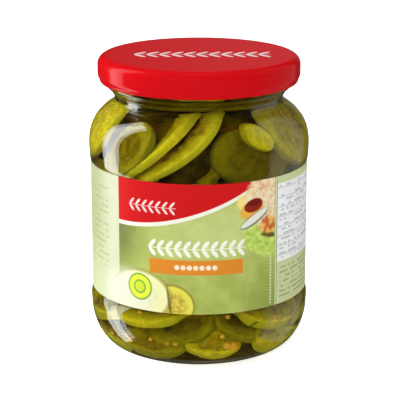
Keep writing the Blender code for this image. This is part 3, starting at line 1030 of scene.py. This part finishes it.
class Print:
    """Masks for simple shapes on a flat print, each 1 inside and 0 outside."""

    def __init__(self, nodes, place):
        self.nodes = nodes
        self.place = place
        parts = nodes.add("ShaderNodeSeparateXYZ", Vector=place)
        self.across, self.up = parts.outputs[0], parts.outputs[1]

    def both(self, first, *others):
        for other in others:
            first = self.nodes.math("MULTIPLY", first, other)
        return first

    def between(self, value, low, high, soft=PRINT_SOFT):
        rising = self.nodes.ramp(value, low - soft, low + soft)
        falling = self.nodes.ramp(value, high - soft, high + soft, 1.0, 0.0)
        return self.both(rising, falling)

    def box(self, low, high, soft=PRINT_SOFT):
        return self.both(
            self.between(self.across, low[0], high[0], soft), self.between(self.up, low[1], high[1], soft)
        )

    def oval(self, centre, radii, lean=0.0, soft=0.05, place=None, ragged=0.0):
        """An ellipse turned by lean degrees, with a ragged edge where that is asked for."""
        nodes = self.nodes
        moved = nodes.add("ShaderNodeMapping", Vector=self.place if place is None else place)
        moved.vector_type = "TEXTURE"
        moved.inputs["Location"].default_value = (*centre, 0.0)
        moved.inputs["Rotation"].default_value = (0.0, 0.0, math.radians(lean))
        moved.inputs["Scale"].default_value = (*radii, 1.0)
        reach = nodes.vector("LENGTH", moved.outputs[0])
        if ragged:
            edge = nodes.math("SUBTRACT", nodes.noise(self.place, 1.1, 3.0), 0.5)
            reach = nodes.math("MULTIPLY_ADD", edge, ragged, reach)
        return nodes.ramp(reach, 1.0 - soft, 1.0 + soft, 1.0, 0.0)

    def lines(self, pitch, low, high, fill=0.62):
        """Rows of broken bars."""
        nodes = self.nodes
        row = nodes.math("FLOOR", nodes.math("DIVIDE", self.up, pitch))
        level = nodes.math("FLOORED_MODULO", self.up, pitch)
        stroke = self.between(level, 0.32 * pitch, 0.68 * pitch, 0.1 * pitch)
        cell = nodes.math("FLOOR", nodes.math("DIVIDE", self.across, 0.8 * pitch))
        spot = nodes.add("ShaderNodeCombineXYZ", X=cell, Y=row)
        chance = nodes.tree.nodes.new("ShaderNodeTexWhiteNoise")
        chance.noise_dimensions = "2D"
        nodes.feed(chance.inputs["Vector"], spot.outputs[0])
        word = nodes.math("LESS_THAN", chance.outputs["Value"], fill)
        return self.both(stroke, word, self.box(low, high))


def banner_height(prints):
    """How far a place on the label is above the banner's curved lower edge."""
    nodes = prints.nodes
    run = nodes.math("MAXIMUM", nodes.math("SUBTRACT", prints.across, -30.0), 0.0)
    rise = nodes.math("POWER", nodes.math("DIVIDE", run, BANNER_RUN), BANNER_POWER)
    edge = nodes.math("MULTIPLY_ADD", rise, BANNER_RISE, BANNER_LOW)
    return nodes.math("SUBTRACT", prints.up, edge)


def print_background(prints):
    """Pale sides, the mottled green front, and the red banner over it."""
    nodes = prints.nodes
    across, up = prints.across, prints.up
    mottle = nodes.noise(prints.place, 0.12, 3.0, 0.5)
    front = nodes.mix(nodes.ramp(mottle, 0.3, 0.7), rgb(160, 174, 80), rgb(184, 196, 104))
    glow = prints.oval((8.0, 29.0), (20.0, 10.0), 12.0, 0.9)
    front = nodes.mix(nodes.math("MULTIPLY", glow, 0.55), front, rgb(212, 222, 150))
    shade = prints.both(nodes.ramp(across, -31.0, -17.0, 0.85, 0.0), nodes.ramp(up, 8.0, 26.0))
    front = nodes.mix(shade, front, rgb(104, 114, 62))
    corner = prints.both(nodes.ramp(across, 10.0, 30.0), nodes.ramp(up, 2.0, 20.0, 0.7, 0.0))
    front = nodes.mix(corner, front, rgb(132, 150, 62))
    side = nodes.mix(nodes.ramp(up, 0.0, 30.0), rgb(202, 211, 164), rgb(176, 186, 138))
    side = nodes.mix(nodes.ramp(across, -46.0, -33.0), side, rgb(208, 212, 180))
    right = nodes.mix(mottle, rgb(202, 211, 152), rgb(214, 223, 168))
    side = nodes.mix(nodes.ramp(across, 20.0, 20.4), side, right)
    panel = prints.between(across, *FRONT_PANEL)
    colour = nodes.mix(panel, side, front)
    above = banner_height(prints)
    over = nodes.ramp(across, 20.5, 23.0, 1.0, 0.0)
    stripe = prints.both(prints.between(above, -BANNER_STRIPE, 0.4), prints.between(across, -31.0, 22.6))
    colour = nodes.mix(stripe, colour, rgb(240, 240, 226))
    red = prints.both(nodes.ramp(above, -PRINT_SOFT, PRINT_SOFT), prints.between(across, -31.0, 22.0))
    return nodes.mix(prints.both(red, over), colour, rgb(207, 13, 17))


def print_garland(prints, colour, box, pitch, leaf_radii, paint):
    """A straight sprig of paired leaves that fills a box."""
    nodes = prints.nodes
    low, high = box
    middle = 0.5 * (low[1] + high[1])
    along = nodes.math("SUBTRACT", prints.across, low[0])
    cell = nodes.math("FLOORED_MODULO", along, pitch)
    spot = nodes.add("ShaderNodeCombineXYZ", X=cell, Y=prints.up).outputs[0]
    stem = 0.22 * leaf_radii[1]
    colour = nodes.mix(prints.box((low[0], middle - stem), (high[0], middle + stem)), colour, paint)
    rise = 0.8 * leaf_radii[0]
    for side in (1.0, -1.0):
        leaf = prints.oval((0.5 * pitch, middle + rise * side), leaf_radii, 50.0 * side, 0.08, spot)
        colour = nodes.mix(prints.both(leaf, prints.box(low, high, 0.02)), colour, paint)
    return colour


def print_title(prints, colour):
    """Two garlands of pale leaves, and an orange bar with pale dots."""
    nodes = prints.nodes
    colour = print_garland(prints, colour, GARLAND, GARLAND_PITCH, (1.85, 0.72), rgb(242, 243, 226))
    colour = print_garland(prints, colour, SPRIG, SPRIG_PITCH, (1.5, 0.42), rgb(244, 214, 210))
    colour = nodes.mix(prints.box(*ORANGE_BAR), colour, rgb(222, 138, 40))
    low, high = ORANGE_BAR
    cell = nodes.math("FLOORED_MODULO", nodes.math("SUBTRACT", prints.across, DOTS[0]), DOT_PITCH)
    spot = nodes.add("ShaderNodeCombineXYZ", X=cell, Y=prints.up).outputs[0]
    dot = prints.oval((0.5 * DOT_PITCH, 0.5 * (low[1] + high[1])), (0.9, 0.9), 0.0, 0.12, spot)
    dots = prints.both(dot, prints.box((DOTS[0], low[1]), (DOTS[1], high[1]), 0.02))
    return nodes.mix(dots, colour, rgb(246, 230, 200))


def print_slices(prints, colour):
    """Two overlapping slices and a round badge at the lower left."""
    nodes = prints.nodes
    grain = nodes.noise(prints.place, 0.7, 4.0, 0.6)
    for centre, radii, lean, rim, flesh, heart in (
        ((-8.6, 3.6), (7.4, 6.4), -34.0, (160, 140, 44), (220, 214, 78), (190, 160, 58)),
        ((-22.2, 5.2), (12.2, 9.3), 2.0, (190, 180, 96), (232, 232, 172), (226, 218, 142)),
    ):
        shade = prints.oval(centre, [1.05 * r for r in radii], lean, 0.06)
        colour = nodes.mix(nodes.math("MULTIPLY", shade, 0.45), colour, rgb(112, 104, 40))
        whole = prints.oval(centre, radii, lean, 0.03)
        colour = nodes.mix(whole, colour, rgb(*rim))
        inner = prints.oval(centre, [0.93 * r for r in radii], lean, 0.05)
        lighter = [min(255, c + 14) for c in flesh]
        colour = nodes.mix(inner, colour, nodes.mix(grain, rgb(*flesh), rgb(*lighter)))
        core = prints.oval(centre, [0.62 * r for r in radii], lean, 0.3, ragged=0.5)
        colour = nodes.mix(prints.both(core, nodes.ramp(grain, 0.35, 0.6)), colour, rgb(*heart))
    pale = prints.both(prints.oval((-27.0, 4.6), (10.5, 8.6), 0.0, 0.4), 0.8)
    colour = nodes.mix(pale, colour, rgb(232, 236, 214))
    split = prints.oval((-10.3, 3.4), (0.55, 6.0), 8.0, 0.3, ragged=0.4)
    colour = nodes.mix(prints.both(split, 0.75), colour, rgb(104, 82, 30))
    centre = (-21.7, 8.4)
    colour = nodes.mix(prints.oval(centre, (4.9, 4.9)), colour, rgb(120, 170, 52))
    colour = nodes.mix(prints.oval(centre, (4.3, 4.3)), colour, rgb(226, 238, 66))
    colour = nodes.mix(prints.oval(centre, (2.5, 2.5)), colour, rgb(120, 176, 70))
    return nodes.mix(prints.oval(centre, (1.9, 1.9)), colour, rgb(206, 226, 62))


def print_snack(prints, colour):
    """A filled bun at the upper right, in plain patches: bread, tomato, a pale strip and lettuce."""
    nodes = prints.nodes
    crumbs = nodes.noise(prints.place, 0.42, 5.0, 0.6)
    bread = nodes.mix(nodes.ramp(crumbs, 0.3, 0.62), rgb(222, 168, 112), rgb(246, 228, 190))
    leaf = nodes.mix(nodes.ramp(crumbs, 0.34, 0.66), rgb(160, 200, 66), rgb(212, 228, 124))
    filling = nodes.mix(nodes.ramp(crumbs, 0.4, 0.6), rgb(206, 104, 54), rgb(240, 190, 96))
    right = nodes.ramp(prints.across, FRONT_PANEL[1] - 0.5, FRONT_PANEL[1] - 0.3, 1.0, 0.0)
    for shape, paint in (
        (prints.oval((25.5, 25.0), (10.0, 6.2), -20.0, 0.08, ragged=0.7), leaf),
        (prints.oval((16.4, 39.4), (3.2, 3.0), 20.0, 0.3, ragged=0.6), rgb(244, 222, 132)),
        (prints.oval((25.0, 39.0), (8.6, 10.0), 15.0, 0.1, ragged=0.5), bread),
        (prints.oval((26.0, 26.6), (3.4, 1.0), -14.0, 0.3, ragged=0.6), rgb(104, 92, 36)),
        (prints.oval((26.2, 30.2), (3.9, 3.1), 0.0, 0.2, ragged=0.8), filling),
        (prints.oval((19.0, 36.4), (4.6, 3.0), 18.0, 0.1, ragged=0.5), rgb(236, 176, 66)),
        (prints.oval((19.6, 37.9), (3.7, 2.3), 14.0, 0.06), rgb(146, 34, 16)),
        (prints.oval((19.9, 39.0), (2.9, 1.2), 10.0, 0.15), rgb(120, 22, 10)),
        (prints.oval((20.2, 33.2), (6.4, 1.75), 30.0, 0.1), rgb(120, 128, 104)),
        (prints.oval((20.2, 33.4), (6.2, 1.25), 30.0, 0.08), rgb(228, 232, 218)),
    ):
        colour = nodes.mix(prints.both(shape, right), colour, paint)
    return colour


def print_sides(prints, colour):
    """The seam, a pale table of plain rules, rows of broken bars and the lap at the back."""
    nodes = prints.nodes
    edge = FRONT_PANEL[1]
    seam = prints.box((edge - 0.05, 0.0), (edge + 0.45, 46.2))
    colour = nodes.mix(seam, colour, rgb(226, 230, 206))
    seam_shade = prints.box((edge + 0.45, 0.0), (edge + 0.75, 46.2))
    colour = nodes.mix(seam_shade, colour, rgb(120, 126, 84))
    lap_shade = prints.box((LAP_EDGE, -1.0), (LAP_EDGE + 0.35, 48.0), 0.1)
    colour = nodes.mix(prints.both(lap_shade, 0.6), colour, rgb(116, 122, 84))
    lap_edge = prints.box((LAP_EDGE - 0.4, -1.0), (LAP_EDGE, 48.0), 0.05)
    colour = nodes.mix(prints.both(lap_edge, 0.7), colour, rgb(238, 240, 226))
    colour = nodes.mix(prints.box(*TABLE), colour, rgb(248, 250, 248))
    low, high = TABLE
    level = nodes.math("FLOORED_MODULO", prints.up, 2.0 * LINE_PITCH)
    rules = prints.both(prints.between(level, 0.0, 0.3), prints.box(low, high))
    colour = nodes.mix(prints.both(rules, 0.55), colour, rgb(120, 124, 140))
    small = prints.lines(LINE_PITCH, (low[0] + 1.0, low[1] + 1.0), (high[0] - 1.0, high[1] - 0.5), 0.4)
    colour = nodes.mix(prints.both(small, 0.5), colour, rgb(104, 108, 128))
    small = prints.lines(LINE_PITCH, (31.6, 1.2), (61.0, 13.8), 0.72)
    colour = nodes.mix(prints.both(small, 0.55), colour, rgb(120, 128, 62))
    small = prints.lines(2.2, (-61.0, 12.0), (-37.0, 41.0), 0.5)
    colour = nodes.mix(prints.both(small, 0.5), colour, rgb(150, 158, 108))
    dash = nodes.math("LESS_THAN", nodes.math("FLOORED_MODULO", prints.up, 1.1), 0.7)
    thread = prints.both(prints.box((26.6, 0.6), (27.5, 20.0)), dash)
    return nodes.mix(prints.both(thread, 0.75), colour, rgb(226, 232, 190))


def print_material():
    """The label's print, as fields of colour and simple shapes."""
    material = bpy.data.materials.new("label_print")
    nodes = Nodes(material)
    own = nodes.add("ShaderNodeUVMap")
    own.uv_map = "print_place"
    prints = Print(nodes, own.outputs[0])
    colour = print_background(prints)
    colour = print_snack(prints, colour)
    colour = print_title(prints, colour)
    colour = print_slices(prints, colour)
    colour = print_sides(prints, colour)
    fibre = nodes.noise(nodes.place(), 1500.0, 2.0)
    shader = nodes.add("ShaderNodeBsdfPrincipled", Roughness=0.5)
    shader.inputs["Specular IOR Level"].default_value = 0.15
    nodes.feed(shader.inputs["Base Color"], colour)
    nodes.feed(shader.inputs["Normal"], nodes.bump(fibre, 0.1, 0.0001))
    nodes.finish(shader.outputs[0])
    return material


# Studio


def make_camera():
    data = bpy.data.cameras.new("camera")
    data.lens = CAMERA_LENS
    data.sensor_width = CAMERA_SENSOR
    data.clip_start = 0.01
    camera = bpy.data.objects.new("camera", data)
    camera.location = CAMERA_PLACE
    camera.rotation_euler = (math.radians(90.0 - CAMERA_DOWN_DEG), 0.0, 0.0)
    bpy.context.scene.collection.objects.link(camera)
    bpy.context.scene.camera = camera


def make_floor():
    """A white sweep, which glossy reflections pass by, so that the softboxes can reach below it."""
    mesh = bpy.data.meshes.new("floor")
    half = 3.0
    corners = [(-half, -half, 0.0), (half, -half, 0.0), (half, half, 0.0), (-half, half, 0.0)]
    mesh.from_pydata(corners, [], [(0, 1, 2, 3)])
    floor = bpy.data.objects.new("floor", mesh)
    bpy.context.scene.collection.objects.link(floor)
    material = bpy.data.materials.new("pale_floor")
    nodes = Nodes(material)
    path = nodes.add("ShaderNodeLightPath")
    white = nodes.add("ShaderNodeBsdfDiffuse", Color=(0.9, 0.9, 0.9, 1.0))
    lift = nodes.math("MULTIPLY", path.outputs["Is Camera Ray"], 0.6)
    lit = nodes.add("ShaderNodeEmission", Color=(1.0, 1.0, 1.0, 1.0), Strength=lift)
    sum_node = nodes.tree.nodes.new("ShaderNodeAddShader")
    nodes.tree.links.new(white.outputs[0], sum_node.inputs[0])
    nodes.tree.links.new(lit.outputs[0], sum_node.inputs[1])
    clear = nodes.add("ShaderNodeBsdfTransparent", Color=(1.0, 1.0, 1.0, 1.0))
    mix = nodes.add("ShaderNodeMixShader", Fac=path.outputs["Is Glossy Ray"])
    nodes.tree.links.new(sum_node.outputs[0], mix.inputs[1])
    nodes.tree.links.new(clear.outputs[0], mix.inputs[2])
    nodes.finish(mix.outputs[0])
    mesh.materials.append(material)


# Strength of the white world, by the kind of ray that meets it
WORLD_DIFFUSE = 0.45
WORLD_INSIDE = 1.6
WORLD_GLOSS = 0.02
WORLD_GLOSS_BEHIND = 0.13
WORLD_THROUGH = 0.2


def make_world():
    """White for the camera and for what the jar lets through, soft for diffuse light, dark for gloss."""
    world = bpy.data.worlds.new("studio")
    world.cycles.sampling_method = "NONE"
    nodes = Nodes(world)
    path = nodes.add("ShaderNodeLightPath")
    place = nodes.add("ShaderNodeTexCoord").outputs["Generated"]
    parts = nodes.add("ShaderNodeSeparateXYZ", Vector=place)
    aside, behind = parts.outputs[0], parts.outputs[1]
    backdrop = nodes.ramp(behind, 0.45, 0.85, 0.0, WORLD_THROUGH)
    straight = nodes.math("MULTIPLY", nodes.ramp(behind, 0.86, 0.96), nodes.ramp(aside, -0.2, 0.1))
    gloss = nodes.math("MULTIPLY_ADD", straight, WORLD_GLOSS_BEHIND - WORLD_GLOSS, WORLD_GLOSS)
    through = nodes.math("MULTIPLY", backdrop, path.outputs["Is Transmission Ray"])
    strength = nodes.math("MAXIMUM", gloss, through)
    bounced = nodes.math("MINIMUM", path.outputs["Diffuse Depth"], 1.0)
    diffuse = nodes.math("MULTIPLY", bounced, WORLD_DIFFUSE)
    strength = nodes.math("MAXIMUM", strength, diffuse)
    inside = nodes.math("MULTIPLY", bounced, path.outputs["Is Transmission Ray"])
    strength = nodes.math("MAXIMUM", strength, nodes.math("MULTIPLY", inside, WORLD_INSIDE))
    strength = nodes.math("MAXIMUM", strength, path.outputs["Is Camera Ray"])
    around = nodes.add("ShaderNodeBackground", Strength=strength)
    around.inputs["Color"].default_value = (1.0, 1.0, 1.0, 1.0)
    output = nodes.tree.nodes.new("ShaderNodeOutputWorld")
    nodes.tree.links.new(around.outputs[0], output.inputs["Surface"])
    bpy.context.scene.world = world


def softbox_at(name, azimuth, distance, middle_height, size, radiance, reflected=True):
    """A panel at an azimuth from the front, to the right when positive, facing the jar."""
    turn = math.radians(azimuth)
    place = Vector((distance * math.sin(turn), -distance * math.cos(turn), middle_height))
    data = bpy.data.lights.new(name, "AREA")
    data.shape = "RECTANGLE"
    data.size = size[0]
    data.size_y = size[1]
    data.energy = radiance * math.pi * size[0] * size[1]
    light = bpy.data.objects.new(name, data)
    light.location = place
    level = middle_height if reflected else 0.055
    aim = Vector((0.0, 0.0, level)) - place
    light.rotation_euler = aim.to_track_quat("-Z", "Y").to_euler()
    light.visible_glossy = reflected
    light.visible_transmission = reflected
    bpy.context.scene.collection.objects.link(light)


def make_studio():
    make_camera()
    make_world()
    make_floor()
    softbox_at("softbox_left", -105.0, 0.8, 0.2, (0.32, 2.0), 4.4)
    softbox_at("softbox_right", 108.0, 0.8, 0.2, (0.9, 2.0), 0.36)
    softbox_at("softbox_top", 180.0, 0.1, 1.3, (0.9, 0.9), 2.1, reflected=False)
    softbox_at("softbox_front", -20.0, 1.3, 0.6, (0.8, 0.8), 3.6, reflected=False)
    softbox_at("softbox_high_left", -110.0, 1.0, 0.6, (0.6, 0.6), 2.5, reflected=False)
    view = bpy.context.scene.view_settings
    view.view_transform = "Standard"
    view.look = "None"


def main():
    make_studio()
    make_glass()
    make_brine()
    make_core()
    make_slices()
    make_seeds()
    make_dill()
    make_lid()
    make_label()


main()
